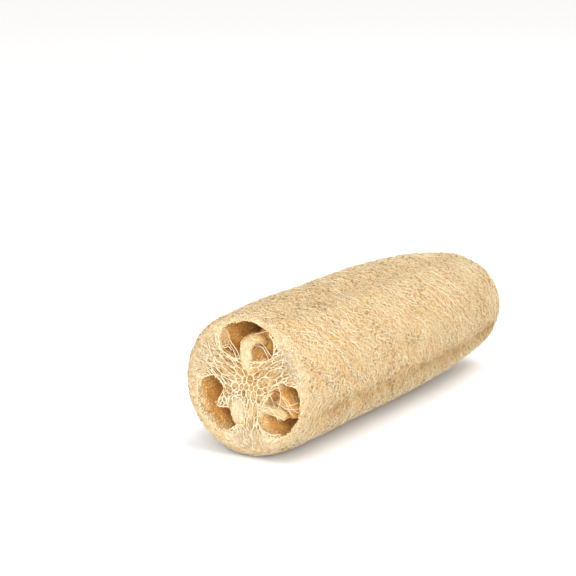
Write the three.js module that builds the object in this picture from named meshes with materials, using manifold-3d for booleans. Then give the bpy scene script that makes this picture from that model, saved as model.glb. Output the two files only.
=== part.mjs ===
// A natural loofah sponge: the dried and peeled fibre skeleton of a ripe gourd, lying on its side.
// One end is cut straight across. It shows three seed chambers, the netted core between them and,
// in each chamber, the lobe of the core that the seeds grew on. The other end is the gourd's own
// rounded tip. The skeleton grew as one piece, so it is one solid with a raised net on its skin.
//
// Millimetres, +Z up. The gourd's axis runs along Y and the cut face looks towards -Y.

import * as THREE from "three";
import { mergeVertices } from "three/addons/utils/BufferGeometryUtils.js";
import loadManifold from "manifold-3d";

// Driving dimensions of the body
const LENGTH = 186;
const BODY_RADIUS = 30;
const RIM_RADIUS = 27.8; // the body just behind the cut face
const RIM_ROLL = 2; // radius of the rounded rim
const FACE_RADIUS = RIM_RADIUS - RIM_ROLL; // outer edge of the cut face
const RIM_DEPTH = 16; // distance behind the cut face where the body reaches its full radius
const RIM_POWER = 2.2;
const TAPER_START = 0.4; // share of the length where the body starts to narrow
const TAPER_LOSS = 0.33; // share of the radius lost by the end of the taper
const TAPER_POWER = 2.6;
const TIP_DEPTH = 17; // length over which the tip rounds off
const TIP_POWER = 2.5;
const REST_SINK = 0.8; // the underside is pressed flat by this much
const REST_ARC = 15; // degrees to either side of straight down where the net is pressed flat
const AXIS_HEIGHT = BODY_RADIUS - REST_SINK;

// The body isn't quite straight: how far its middle strays at either end, as x and z
const RIM_DRIFT = [-0.9, -0.6];
const TIP_DRIFT = [2.4, -1.8];
const TIP_DRIFT_START = 80;

// Shallow furrows along the body, by their direction seen from the cut end
const FURROW_DIRECTIONS = [-24, 70, 118, 166, 218];
const FURROW_HALF_WIDTH = 9; // degrees
const FURROW_DEPTH = 1.3;

// The raised net on the skin: diamond meshes, wide around the body and narrow along it
const NET_COLUMNS = 40;
const NET_ROWS = 80;
const NET_RELIEF = 1.6; // height of the strands above the bottom of a mesh
const NET_SWAY = 0.2; // how far a knot strays, as a share of the knot spacing
const NET_FADE = 5; // length at the rim and at the tip where the net flattens out
const PROFILE_STEPS = 120;
const ROLL_STEPS = 6;

// The three seed chambers
const CHAMBER_INNER = 9.6; // distance from the axis to a chamber's floor
const CHAMBER_OUTER = 24; // distance from the axis to a chamber's roof at the cut face
const CHAMBER_MIDDLE = 16.5;
const CHAMBER_SQUARENESS = 3;
const CHAMBER_END = 24; // solid length left between the chambers and the tip
const CHAMBER_SIDES = 40;
const ROOF_SIDES = 14; // those of them that lie on the roof
const CHAMBER_RIB = 0.4; // height of the ribs along a chamber's wall
const WALL = 4.3; // thickness of the outer wall behind the rim
const WALL_AT_RIM = RIM_RADIUS - CHAMBER_OUTER;
const CHAMBERS = [
  { direction: 90, halfWidth: 12.6, lobeLean: 2.2, lobeHeight: 9.8 },
  { direction: 214, halfWidth: 11.4, lobeLean: -0.8, lobeHeight: 8.4 },
  { direction: 330, halfWidth: 11.8, lobeLean: 2.4, lobeHeight: 9.6 },
];
const LOBE_HALF_WIDTH = 3.7;
const LOBE_SQUARENESS = 8;

// The open meshes of the core, cut across at the face
const MESH_SPACING = 3.9;
const MESH_SWAY = 0.34; // how far a mesh strays, as a share of the spacing
const MESH_DEPTH = [5, 10]; // shallowest and deepest
const STRAND = 0.8; // width of the strands between the meshes
const STRAND_AT_EDGE = 1.1; // width of the strands along the chambers and the rim
const LEAST_MESH_SIDE = 0.7; // a mesh with a narrower side is left closed

const SEED = 20;
const FIBRE_COLOUR = 0xe7c99a;

const wasm = await loadManifold();
wasm.setup();

// A small seeded generator of numbers from 0 to 1, so that every build is the same
function seededRandom(seed) {
  let state = seed >>> 0;
  return () => {
    state = (state + 0x6d2b79f5) >>> 0;
    let mixed = Math.imul(state ^ (state >>> 15), 1 | state);
    mixed = (mixed + Math.imul(mixed ^ (mixed >>> 7), 61 | mixed)) ^ mixed;
    return ((mixed ^ (mixed >>> 14)) >>> 0) / 2 ** 32;
  };
}

const smooth = (low, high, value) => THREE.MathUtils.smoothstep(value, low, high);

// Radius of the body at a distance behind the cut face, before furrows and net
function bodyRadius(distance) {
  const rimLoss = (BODY_RADIUS - RIM_RADIUS) * Math.max(0, 1 - distance / RIM_DEPTH) ** RIM_POWER;
  const alongTaper = Math.max(0, distance / LENGTH - TAPER_START) / (1 - TAPER_START);
  const taperLoss = BODY_RADIUS * TAPER_LOSS * alongTaper ** TAPER_POWER;
  const toTip = THREE.MathUtils.clamp((LENGTH - distance) / TIP_DEPTH, 0, 1);
  const tipShare = (1 - (1 - toTip) ** TIP_POWER) ** (1 / TIP_POWER);
  return (BODY_RADIUS - rimLoss - taperLoss) * tipShare;
}

// How far the middle of the chambers strays towards the tip
function tipDrift(distance) {
  const share = Math.max(0, distance - TIP_DRIFT_START) / (LENGTH - TIP_DRIFT_START);
  return new THREE.Vector2(...TIP_DRIFT).multiplyScalar(share ** 2);
}

// How far the middle of the skin strays
function skinDrift(distance) {
  const share = 1 - smooth(0, RIM_DEPTH, distance);
  return tipDrift(distance).addScaledVector(new THREE.Vector2(...RIM_DRIFT), share);
}

// The angle between two directions, in degrees
function angleBetween(direction, other) {
  return Math.abs(THREE.MathUtils.euclideanModulo(direction - other + 180, 360) - 180);
}

// Depth of the furrows in one direction, in degrees
function furrowDepth(direction) {
  return FURROW_DIRECTIONS.reduce((depth, furrow) => {
    const apart = angleBetween(direction, furrow) / FURROW_HALF_WIDTH;
    return depth + FURROW_DEPTH * Math.exp(-(apart ** 2));
  }, 0);
}

// The body's outline from the cut face over the rim to the tip, as distance behind the face and radius
function bodyProfile() {
  const roll = Array.from({ length: ROLL_STEPS }, (_, step) => {
    const turn = (step / ROLL_STEPS) * (Math.PI / 2);
    const distance = RIM_ROLL * (1 - Math.cos(turn));
    return new THREE.Vector2(distance, bodyRadius(distance) - RIM_ROLL * (1 - Math.sin(turn)));
  });
  const body = Array.from({ length: PROFILE_STEPS + 1 }, (_, step) => {
    const turn = (step / PROFILE_STEPS) * (Math.PI / 2); // closer steps at the tip
    const distance = RIM_ROLL + (LENGTH - RIM_ROLL) * Math.sin(turn);
    return new THREE.Vector2(distance, bodyRadius(distance));
  });
  return new THREE.SplineCurve([...roll, ...body]);
}

// A point of the skin, by its share of the profile's length and its direction in degrees
function skinPoint(profile, share, direction, relief) {
  const { x: distance, y: radius } = profile.getPointAt(share);
  const slope = profile.getTangentAt(share);
  const furrowFade = smooth(0, RIM_DEPTH, distance) * smooth(0, 2 * TIP_DEPTH, LENGTH - distance);
  const sunk = furrowDepth(direction) * furrowFade + relief;
  const angle = THREE.MathUtils.degToRad(direction);
  const reach = radius - sunk * slope.x;
  const drift = skinDrift(distance);
  const height = AXIS_HEIGHT + drift.y + reach * Math.sin(angle);
  const along = distance + sunk * slope.y - LENGTH / 2;
  return [drift.x + reach * Math.cos(angle), along, Math.max(0, height)];
}

// The closed skin: knots of the net stand up, and the points between four knots are sunk
function skinGeometry(random) {
  const positions = [];
  const faces = [];
  const profile = bodyProfile();
  const profileLength = profile.getLength();
  const columnStep = 360 / NET_COLUMNS;
  const sway = () => (2 * random() - 1) * NET_SWAY;
  const isKnot = (column, row) => (column + row) % 2 === 0;
  for (let row = 0; row < NET_ROWS; row++) {
    const atRim = row === 0;
    for (let column = 0; column < NET_COLUMNS; column++) {
      const direction = (column + sway()) * columnStep;
      const share = atRim ? 0 : (row + sway()) / NET_ROWS;
      const fromEnd = Math.min(share, 1 - share) * profileLength;
      const { x: distance, y: radius } = profile.getPointAt(share);
      const touches = radius > AXIS_HEIGHT + skinDrift(distance).y;
      const pressed = touches && angleBetween(direction, -90) < REST_ARC;
      const depth = NET_RELIEF * smooth(0, NET_FADE, fromEnd) * (0.75 + 0.5 * random());
      const relief = pressed || isKnot(column, row) ? 0 : depth;
      positions.push(...skinPoint(profile, share, direction, relief));
    }
  }
  const faceCentre = positions.length / 3;
  positions.push(0, -LENGTH / 2, AXIS_HEIGHT);
  positions.push(TIP_DRIFT[0], LENGTH / 2, AXIS_HEIGHT + TIP_DRIFT[1]);
  const tip = faceCentre + 1;
  const lastRow = NET_ROWS - 1;
  const at = (column, row) => row * NET_COLUMNS + (column % NET_COLUMNS);
  for (let column = 0; column < NET_COLUMNS; column++) {
    faces.push(faceCentre, at(column, 0), at(column + 1, 0));
    faces.push(tip, at(column + 1, lastRow), at(column, lastRow));
    for (let row = 0; row < lastRow; row++) {
      const [a, b] = [at(column, row), at(column + 1, row)];
      const [c, d] = [at(column + 1, row + 1), at(column, row + 1)];
      if (isKnot(column, row)) faces.push(a, d, c, a, c, b);
      else faces.push(a, d, b, b, d, c);
    }
  }
  return new THREE.BufferGeometry()
    .setAttribute("position", new THREE.Float32BufferAttribute(positions, 3))
    .setIndex(faces);
}

// A chamber's outline at the cut face: across is measured to the right of its direction, out from the axis
function chamberOutline({ halfWidth, lobeLean, lobeHeight }, rib) {
  return Array.from({ length: CHAMBER_SIDES }, (_, side) => {
    const onRoof = side < ROOF_SIDES;
    const turn = onRoof ? side / ROOF_SIDES : 1 + (side - ROOF_SIDES) / (CHAMBER_SIDES - ROOF_SIDES);
    const cosine = Math.cos(turn * Math.PI);
    const across = halfWidth * cosine;
    const fullness = (1 - Math.abs(cosine) ** CHAMBER_SQUARENESS) ** (1 / CHAMBER_SQUARENESS);
    const roof = Math.sqrt(CHAMBER_OUTER ** 2 - across ** 2);
    const lobe = lobeHeight / (1 + ((across - lobeLean) / LOBE_HALF_WIDTH) ** LOBE_SQUARENESS);
    const edge = onRoof ? roof : CHAMBER_INNER + lobe;
    const ribbed = side % 2 ? fullness * Math.sign(edge - CHAMBER_MIDDLE) * rib : 0;
    return new THREE.Vector2(across, CHAMBER_MIDDLE + fullness * (edge - CHAMBER_MIDDLE) - ribbed);
  });
}

// Turns an outline point of a chamber into x and z round the axis
function aroundAxis(point, direction) {
  const angle = THREE.MathUtils.degToRad(direction);
  const [sine, cosine] = [Math.sin(angle), Math.cos(angle)];
  return new THREE.Vector2(
    point.x * sine + point.y * cosine,
    -point.x * cosine + point.y * sine,
  );
}

// How much wider a chamber is at a distance behind the cut face than at the face
function chamberScale(distance) {
  const wall = THREE.MathUtils.lerp(WALL_AT_RIM, WALL, smooth(0, RIM_DEPTH, distance));
  return (bodyRadius(Math.max(0, distance)) - wall) / CHAMBER_OUTER;
}

// The space of one chamber, from just outside the cut face to its closed end
function chamberGeometry(chamber) {
  const outline = chamberOutline(chamber, CHAMBER_RIB);
  const end = LENGTH - CHAMBER_END;
  const stations = [-2, 0, 0.04, 0.1, 0.3, 0.5, 0.65, 0.78, 0.89, 0.97, 1];
  const middle = new THREE.Vector2(chamber.lobeLean, CHAMBER_OUTER - 2);
  const positions = [];
  stations.forEach((station, index) => {
    const distance = station < 0 ? station : station * end;
    const drift = tipDrift(distance);
    const closing = [0.86, 0.5][index - stations.length + 2] ?? 1;
    for (const point of outline) {
      const closed = point.clone().lerp(middle, 1 - closing);
      const { x, y } = aroundAxis(closed, chamber.direction).multiplyScalar(chamberScale(distance));
      positions.push(drift.x + x, distance - LENGTH / 2, AXIS_HEIGHT + drift.y + y);
    }
  });
  const faces = [];
  const at = (side, station) => station * CHAMBER_SIDES + (side % CHAMBER_SIDES);
  const last = stations.length - 1;
  for (const [a, b, c] of THREE.ShapeUtils.triangulateShape(outline, [])) {
    faces.push(at(a, 0), at(b, 0), at(c, 0));
    faces.push(at(a, last), at(c, last), at(b, last));
  }
  for (let station = 0; station < last; station++) {
    for (let side = 0; side < CHAMBER_SIDES; side++) {
      const [a, b] = [at(side, station), at(side + 1, station)];
      const [c, d] = [at(side + 1, station + 1), at(side, station + 1)];
      faces.push(a, d, b, b, d, c);
    }
  }
  return new THREE.BufferGeometry()
    .setAttribute("position", new THREE.Float32BufferAttribute(positions, 3))
    .setIndex(faces);
}

// The part of a polygon on the inner side of a line, given by a point on it and its outward normal
function clipPolygon(polygon, point, normal) {
  const side = (corner) => corner.clone().sub(point).dot(normal);
  return polygon.flatMap((corner, index) => {
    const next = polygon[(index + 1) % polygon.length];
    const [here, there] = [side(corner), side(next)];
    const kept = here <= 0 ? [corner] : [];
    if (here < 0 !== there < 0) kept.push(corner.clone().lerp(next, here / (here - there)));
    return kept;
  });
}

// The nearest point of a closed outline, and whether the outline holds the place
function nearestOnOutline(place, outline) {
  let nearest = outline[0];
  let inside = false;
  outline.forEach((from, index) => {
    const to = outline[(index + 1) % outline.length];
    const edge = to.clone().sub(from);
    const share = THREE.MathUtils.clamp(place.clone().sub(from).dot(edge) / edge.lengthSq(), 0, 1);
    const candidate = from.clone().addScaledVector(edge, share);
    if (candidate.distanceTo(place) < nearest.distanceTo(place)) nearest = candidate;
    const crosses = from.y > place.y !== to.y > place.y;
    if (crosses && place.x < from.x + ((place.y - from.y) * edge.x) / edge.y) inside = !inside;
  });
  return { nearest, inside };
}

// Places for the meshes of the core: a triangular grid with every place swayed
function meshPlaces(random) {
  const rowStep = (MESH_SPACING * Math.sqrt(3)) / 2;
  const reach = Math.ceil(FACE_RADIUS / rowStep);
  const sway = () => (2 * random() - 1) * MESH_SWAY * MESH_SPACING;
  const places = [];
  for (let row = -reach; row <= reach; row++) {
    for (let column = -reach; column <= reach; column++) {
      const across = (column + Math.abs(row % 2) / 2) * MESH_SPACING;
      places.push(new THREE.Vector2(across + sway(), row * rowStep + sway()));
    }
  }
  return places;
}

// One mesh: the ground nearer to its place than to any other, less half a strand all round
function meshOutline(place, places, outlines) {
  const reach = MESH_SPACING;
  let polygon = [[1, 1], [-1, 1], [-1, -1], [1, -1]].map(
    ([x, y]) => new THREE.Vector2(place.x + x * reach, place.y + y * reach),
  );
  const keepOff = (limit, strand) => {
    const normal = limit.clone().sub(place).normalize();
    polygon = clipPolygon(polygon, limit.clone().addScaledVector(normal, -strand), normal);
  };
  for (const other of places) {
    if (other === place || other.distanceTo(place) > 2 * reach) continue;
    keepOff(place.clone().lerp(other, 0.5), STRAND / 2);
  }
  for (const outline of outlines) keepOff(nearestOnOutline(place, outline).nearest, STRAND_AT_EDGE);
  keepOff(place.clone().setLength(FACE_RADIUS), 1.5 * STRAND_AT_EDGE);
  return polygon;
}

// The open meshes of the core, as spaces that reach into it from just outside the cut face
function coreMeshGeometries(random) {
  const outlines = CHAMBERS.map((chamber) =>
    chamberOutline(chamber, 0).map((point) => aroundAxis(point, chamber.direction)),
  );
  const places = meshPlaces(random);
  const outside = 1;
  const spaces = [];
  for (const place of places) {
    const depth = THREE.MathUtils.lerp(...MESH_DEPTH, random());
    const inChamber = outlines.some((outline) => nearestOnOutline(place, outline).inside);
    if (inChamber || place.length() > FACE_RADIUS - STRAND_AT_EDGE) continue;
    const polygon = meshOutline(place, places, outlines);
    const box = new THREE.Box2().setFromPoints(polygon).getSize(new THREE.Vector2());
    if (polygon.length < 3 || Math.min(box.x, box.y) < LEAST_MESH_SIDE) continue;
    const space = new THREE.ExtrudeGeometry(new THREE.Shape(polygon), {
      depth: depth + outside,
      bevelEnabled: false,
    });
    spaces.push(space.rotateX(Math.PI / 2).translate(0, depth - LENGTH / 2, AXIS_HEIGHT));
  }
  return spaces;
}

// Closed geometry as a solid, with its shared vertices merged
function solidOf(geometry) {
  const bare = geometry.clone();
  bare.deleteAttribute("normal");
  bare.deleteAttribute("uv");
  const merged = mergeVertices(bare, 1e-4);
  return new wasm.Manifold(
    new wasm.Mesh({
      numProp: 3,
      vertProperties: merged.getAttribute("position").array,
      triVerts: Uint32Array.from(merged.index.array),
    }),
  );
}

// A solid as plain geometry again
function geometryOf(solid) {
  const { vertProperties, triVerts } = solid.getMesh();
  return new THREE.BufferGeometry()
    .setAttribute("position", new THREE.BufferAttribute(vertProperties, 3))
    .setIndex(new THREE.BufferAttribute(triVerts, 1));
}

// The sponge: the netted skin, with the chambers and the open meshes of the core cut out of it
function spongeGeometry() {
  const random = seededRandom(SEED);
  const skin = solidOf(skinGeometry(random));
  const hollows = [...CHAMBERS.map(chamberGeometry), ...coreMeshGeometries(random)];
  return geometryOf(hollows.reduce((solid, hollow) => solid.subtract(solidOf(hollow)), skin));
}

const sponge = new THREE.Mesh(
  spongeGeometry(),
  new THREE.MeshStandardMaterial({ color: FIBRE_COLOUR, roughness: 0.9, metalness: 0 }),
);
sponge.name = "loofah_sponge";

const loofah = new THREE.Group();
loofah.add(sponge);

export default loofah;
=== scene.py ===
"""Natural loofah sponge: the felt of the body, its fibres, the net of the cut end and the stage."""

import math
from math import radians

import bpy
import numpy as np
from bpy.props import FloatProperty, FloatVectorProperty, IntProperty, PointerProperty
from mathutils import Matrix, Vector, noise
from mathutils.geometry import delaunay_2d_cdt


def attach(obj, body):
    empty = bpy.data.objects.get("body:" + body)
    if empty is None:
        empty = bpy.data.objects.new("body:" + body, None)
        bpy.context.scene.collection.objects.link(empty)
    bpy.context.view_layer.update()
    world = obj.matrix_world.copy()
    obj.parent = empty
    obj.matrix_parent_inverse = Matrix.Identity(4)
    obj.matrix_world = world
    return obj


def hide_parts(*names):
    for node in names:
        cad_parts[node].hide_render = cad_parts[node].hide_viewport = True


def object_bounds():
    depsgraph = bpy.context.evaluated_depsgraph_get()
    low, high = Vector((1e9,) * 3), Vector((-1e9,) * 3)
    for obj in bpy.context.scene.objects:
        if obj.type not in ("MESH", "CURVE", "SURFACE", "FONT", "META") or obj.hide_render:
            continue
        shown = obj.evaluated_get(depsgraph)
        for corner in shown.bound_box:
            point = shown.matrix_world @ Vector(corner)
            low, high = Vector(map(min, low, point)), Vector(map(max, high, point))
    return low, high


bl_info = {
    "name": "Natural loofah sponge",
    "version": (1, 0, 0),
    "blender": (4, 5, 0),
    "location": "3D View > Sidebar > Loofah",
    "description": "Builds a cut loofah sponge from felt, fibres and nets around its solid",
    "category": "Add Mesh",
}

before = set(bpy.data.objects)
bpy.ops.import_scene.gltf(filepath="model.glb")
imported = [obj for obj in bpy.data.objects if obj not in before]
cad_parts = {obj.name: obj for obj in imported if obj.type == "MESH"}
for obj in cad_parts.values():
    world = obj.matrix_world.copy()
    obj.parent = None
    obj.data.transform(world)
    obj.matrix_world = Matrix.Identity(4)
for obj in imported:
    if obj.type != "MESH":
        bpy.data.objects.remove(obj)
SOLID_LOW, SOLID_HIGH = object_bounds()
NODE = "loofah_sponge"
BODY = "root"

MM = 0.001
IMAGE_SIDE = 576  # pixels
SENSOR = 36  # millimetres

LENGTH = SOLID_HIGH.y - SOLID_LOW.y
FACE_Y = SOLID_LOW.y
BODY_RADIUS = 30 * MM
AXIS_HEIGHT = SOLID_HIGH.z - BODY_RADIUS
FURROWS = (-24, 70, 118, 166, 218)  # degrees
FURROW_WIDTH = 9  # degrees
DRIFT_START = 80 * MM  # behind the cut face
TIP_DRIFT = (2.4 * MM, -1.8 * MM)  # x and z of the tip, off the axis
RIM_DRIFT = (-0.9 * MM, -0.6 * MM)  # x and z of the rim, off the axis

# The three seed chambers by their direction from the axis, in degrees and metres
CHAMBERS = (
    {"direction": 90, "half_width": 12.6 * MM, "lean": 2.2 * MM, "lobe": 9.8 * MM},
    {"direction": 214, "half_width": 11.4 * MM, "lean": -0.8 * MM, "lobe": 8.4 * MM},
    {"direction": 330, "half_width": 11.8 * MM, "lean": 2.4 * MM, "lobe": 9.6 * MM},
)
CHAMBER_REACH = 24 * MM  # from the axis to the chambers' outer wall at the cut face
CHAMBER_SIDES = 96
LOBE_HALF_WIDTH = 3.7 * MM
SMOOTH_LOBES = (0, 2)  # the chambers whose lobe is smooth tissue, and not part of the net
NET_LOBE_SHARE = 0.85  # of the lobe's full height, where it is part of the net
NET_LOBE_HALF_WIDTH = 2.6 * MM
ARMS = (30, 150, 270)  # degrees, directions of the core's arms between the chambers
NET_REACH = 24.4 * MM  # from the axis to the edge of the core's net

# Places on the cut face are x and z from the axis and the distance behind it, in millimetres.
# Tongues of tissue by their left and right edges, from the root to the tip
TONGUES = {
    "seed_flap": (
        (
            (-2.2, 5.0, 1.4), (-3.1, 7.6, 0.3), (-3.6, 10.5, 0.4), (-4.0, 14.4, 0.8), (-3.6, 17.0, 1.4),
            (-1.6, 18.6, 1.8), (0.7, 19.8, 2.2), (3.0, 20.1, 2.6), (5.2, 19.0, 3.0), (6.6, 17.5, 3.2),
        ),
        (
            (0.8, 5.4, 1.4), (1.5, 7.6, 0.3), (1.3, 9.9, 0.4), (1.2, 11.9, 0.8), (1.1, 13.4, 1.4),
            (1.6, 14.5, 1.8), (2.6, 15.1, 2.2), (4.0, 15.2, 2.6), (5.3, 14.8, 3.0), (6.4, 14.6, 3.2),
        ),
    ),
    "seed_lump": (
        ((-5.6, -18.4, 1.6), (-7.8, -14.8, 0.9), (-8.8, -10.6, 0.7), (-8.0, -6.4, 0.9), (-6.0, -4.2, 1.6)),
        ((-2.0, -18.0, 1.6), (-0.9, -13.8, 0.9), (-1.0, -10.0, 0.7), (-2.0, -7.0, 0.9), (-4.2, -4.0, 1.6)),
    ),
    "seed_finger": (
        (
            (3.6, -6.4, 0.8), (6.1, -6.6, 0.5), (10.0, -6.8, 0.4),
            (13.5, -7.2, 0.5), (16.5, -8.4, 0.8), (17.4, -9.6, 1.2),
        ),
        (
            (3.9, -9.6, 0.8), (6.9, -10.4, 0.5), (10.3, -10.8, 0.4),
            (13.3, -11.8, 0.5), (15.8, -12.4, 0.8), (17.2, -11.1, 1.2),
        ),
    ),
}
NETTED_TONGUES = ("seed_finger",)  # tongues whose pale strands stand out on darker tissue
# Netted pockets: x, z, half width, half height, distances of the rim and of the bottom, tone; the low tones
# give the bowls painted shade
POCKETS = {
    "pocket_upper_left": (-9.2, 11.0, 3.4, 3.2, 0.9, 4.6, 0.05),
    "pocket_by_flap": (5.4, 12.2, 3.7, 3.0, 1.6, 5.0, 0.05),
    "pocket_right": (11.4, -3.2, 2.5, 2.1, 0.8, 3.8, 0.05),
    "pocket_left_arm": (-16.7, 7.8, 1.8, 1.7, 0.5, 2.4, 0.3),
    "pocket_chamber_end": (-11.8, 16.8, 3.4, 4.4, 0.9, 3.2, 0.4),
}
RIMMED_POCKETS = ("pocket_upper_left", "pocket_left_arm")  # pockets with strands round their rim
RIM_STRANDS = 3
NET_HOLES = ("pocket_right", "pocket_left_arm")  # pockets that lie in the net itself
# Strands that bridge the chambers, and those that lie on the finger
BRIDGES = (
    ((-10.4, 18.2, 2.4), (-7.6, 15.6, 1.4), (-4.4, 12.4, 0.8), (-3.2, 10.6, 0.5)),
    ((-10.2, 16.6, 2.2), (-7.4, 13.8, 1.2), (-5.2, 11.0, 0.6), (-4.4, 9.2, 0.4)),
    ((3.4, 17.2, 3.4), (6.2, 16.2, 2.4), (9.6, 13.6, 1.2), (12.6, 11.0, 0.5)),
    ((2.6, 14.8, 2.4), (5.4, 15.6, 1.9), (8.4, 13.2, 1.1), (10.2, 9.8, 0.4)),
    ((2.0, 19.6, 3.4), (5.0, 20.6, 3.8), (8.4, 22.0, 4.4)),
    ((13.6, 2.4, 0.4), (14.6, -1.4, 1.2), (14.4, -4.6, 1.4), (13.4, -8.2, 0.8)),
    ((13.2, -5.6, 1.2), (16.6, -7.2, 1.8), (20.0, -7.2, 2.2), (23.4, -6.2, 2.4)),
    ((14.0, -2.0, 1.4), (17.4, -4.6, 2.2), (19.6, -7.4, 2.2), (22.6, -8.4, 2.4)),
    ((8.8, -0.4, 0.4), (10.4, -3.6, 1.2), (12.4, -7.4, 0.8)),
    ((15.0, -3.0, 1.6), (17.2, -6.0, 2.0), (18.6, -8.6, 1.8), (20.6, -10.2, 2.2)),
    ((15.6, -6.4, 1.6), (18.8, -5.8, 2.4), (21.6, -4.4, 2.8)),
    ((-8.4, -5.6, 0.6), (-12.4, -7.6, 1.0), (-15.6, -9.6, 1.6)),
    ((3.0, -5.6, 0.3), (6.6, -7.4, 0.2), (10.6, -7.6, 0.1), (14.4, -8.8, 0.3), (17.0, -10.6, 0.9)),
    ((3.4, -8.4, 0.4), (7.4, -8.6, 0.1), (10.8, -10.0, 0.1), (14.6, -10.4, 0.3), (16.8, -11.6, 0.9)),
    ((4.8, -10.6, 0.6), (7.6, -9.4, 0.1), (9.8, -8.0, 0.1), (12.6, -9.4, 0.1), (14.8, -12.0, 0.8)),
    ((5.2, -6.4, 0.4), (7.8, -8.2, 0.1), (10.2, -8.8, 0.1), (12.8, -7.8, 0.3)),
    ((9.4, -6.6, 0.4), (11.8, -8.6, 0.1), (13.6, -10.8, 0.2), (13.8, -12.2, 0.7)),
)
STRAND_TONE = 0.92

# Colours of each kind of tissue, from pale to deep; painted shade moves a tone towards the deep colour. The
# chamber colours are brighter than the skin's: painted light in the shaded chambers
PALETTES = {
    "skin": ("pale", "body", "deep"),
    "core": ("pale", "tissue", "hollow"),
    "chamber wall": ("inner", "hollow", "pit_shade"),
    "chamber fibre": ("inner_pale", "inner", "hollow"),
    "lobe": ("pale", "tissue", "deep"),
    "pocket": ("pale", "tissue", "pit_shade"),
}
TISSUE_LOOK = {"streaks": 0.4, "grain": 0.6}

# The fibre tree's inputs for short loose fibres; each layer changes some of them
LOOSE = dict(
    steps=5,
    length=3.2 * MM,
    spacing=2 * MM,
    slant=0.0,
    slant_spread=radians(30),
    sway=0.25 * MM,
    bunching=1.8 * MM,
    bunch_size=2.8 * MM,
    radius=0.16 * MM,
    lift=0.1 * MM,
    lift_spread=0.12 * MM,
    weave=0.15 * MM,
    end_dip=0.6 * MM,
    tone=0.8,
    tone_spread=0.12,
    from_share=0.0,
    to_share=0.998,
    seed=0,
)

# Settings


def length_setting(name, description, default):
    """A length that a user may change."""
    return FloatProperty(name=name, description=description, default=default, unit="LENGTH", precision=5)


def angle_setting(name, description, degrees):
    """An angle that a user may change."""
    return FloatProperty(name=name, description=description, default=radians(degrees), subtype="ANGLE")


def share_setting(name, description, default):
    """A share of a whole that a user may change."""
    return FloatProperty(name=name, description=description, default=default, subtype="FACTOR")


def power_setting(name, description, default):
    """The power of a light that a user may change."""
    return FloatProperty(name=name, description=description, default=default, subtype="POWER")


def colour_setting(name, description, default):
    """A colour that a user may change."""
    return FloatVectorProperty(name=name, description=description, default=default, size=3, subtype="COLOR")


class LoofahBodySettings(bpy.types.PropertyGroup):
    """Form of the body, the same as the solid's"""

    rim_radius: length_setting("Rim radius", "The body just behind the cut face", 27.8 * MM)
    rim_depth: length_setting(
        "Rim depth", "Distance behind the cut face where the body reaches its full radius", 16 * MM
    )
    taper_start: share_setting("Taper start", "Share of the length where the body starts to narrow", 0.4)
    taper_loss: share_setting("Taper loss", "Share of the radius lost by the end of the taper", 0.33)
    tip_depth: length_setting("Tip depth", "Length over which the tip rounds off", 17 * MM)
    furrow_depth: length_setting("Furrow depth", "Depth of the shallow furrows along the body", 1.4 * MM)
    recess: length_setting(
        "Core recess", "How far the closed felt of the core lies behind the cut face", 1.7 * MM
    )
    wall: length_setting("Wall", "Thickness of the outer wall behind the rim", 4.3 * MM)
    felt_sink: length_setting("Felt sink", "How far the felt lies below the outermost fibres", 0.7 * MM)


class LoofahFibreSettings(bpy.types.PropertyGroup):
    """Fibres of the skin and the rim, and the seed of all fibres"""

    row: length_setting("Row", "Distance along the body between two strands of the skin's net", 1.15 * MM)
    length: length_setting("Length", "Mean length of a strand of the skin's net", 13.5 * MM)
    radius: length_setting("Radius", "Mean radius of a skin fibre", 0.19 * MM)
    lean: angle_setting(
        "Lean", "How far the fibres at the body's sides lean from its rings towards the cut face", 45
    )
    seed: IntProperty(name="Seed", description="Seed of every random draw", default=20)


class LoofahColourSettings(bpy.types.PropertyGroup):
    """Colours of the dry fibre"""

    pale: colour_setting("Pale fibre", "Colour of the palest fibres", (0.765, 0.67, 0.48))
    body: colour_setting("Body fibre", "Colour of most fibres of the skin", (0.63, 0.505, 0.31))
    # The deep colour is where painted shade leads: pores, furrows, the under layer, the felt in the gaps and
    # the back of the tongues
    deep: colour_setting(
        "Deep fibre", "Colour of the darkest fibres of the skin and the tongues", (0.43, 0.24, 0.073)
    )
    # Colours in the chambers are brighter than the skin's: painted light in the shaded chambers. Going from
    # the inner colours to the chamber colour further back is painted shade
    inner_pale: colour_setting(
        "Pale inner fibre", "Colour of the palest fibres in a chamber", (1.0, 0.88, 0.62)
    )
    inner: colour_setting(
        "Inner fibre", "Colour of fibres and felt near a chamber's mouth", (0.96, 0.74, 0.42)
    )
    hollow: colour_setting(
        "Chamber fibre",
        "Colour of fibres and felt further back in a chamber and deep in the core",
        (0.96, 0.55, 0.145),
    )
    tissue: colour_setting(
        "Core tissue",
        "Colour of the tissue of the lobes and between the strands of the core",
        (0.61, 0.41, 0.185),
    )
    # Painted shade: the darkest felt deep in the chambers and the bottoms of the pockets
    pit_shade: colour_setting(
        "Pit", "Colour of the deepest felt and of the bottom of the netted pockets", (0.4, 0.195, 0.053)
    )

    def palette(self, kind):
        """The three colours of one kind of tissue, from pale to deep."""
        return [getattr(self, name) for name in PALETTES[kind]]


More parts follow.
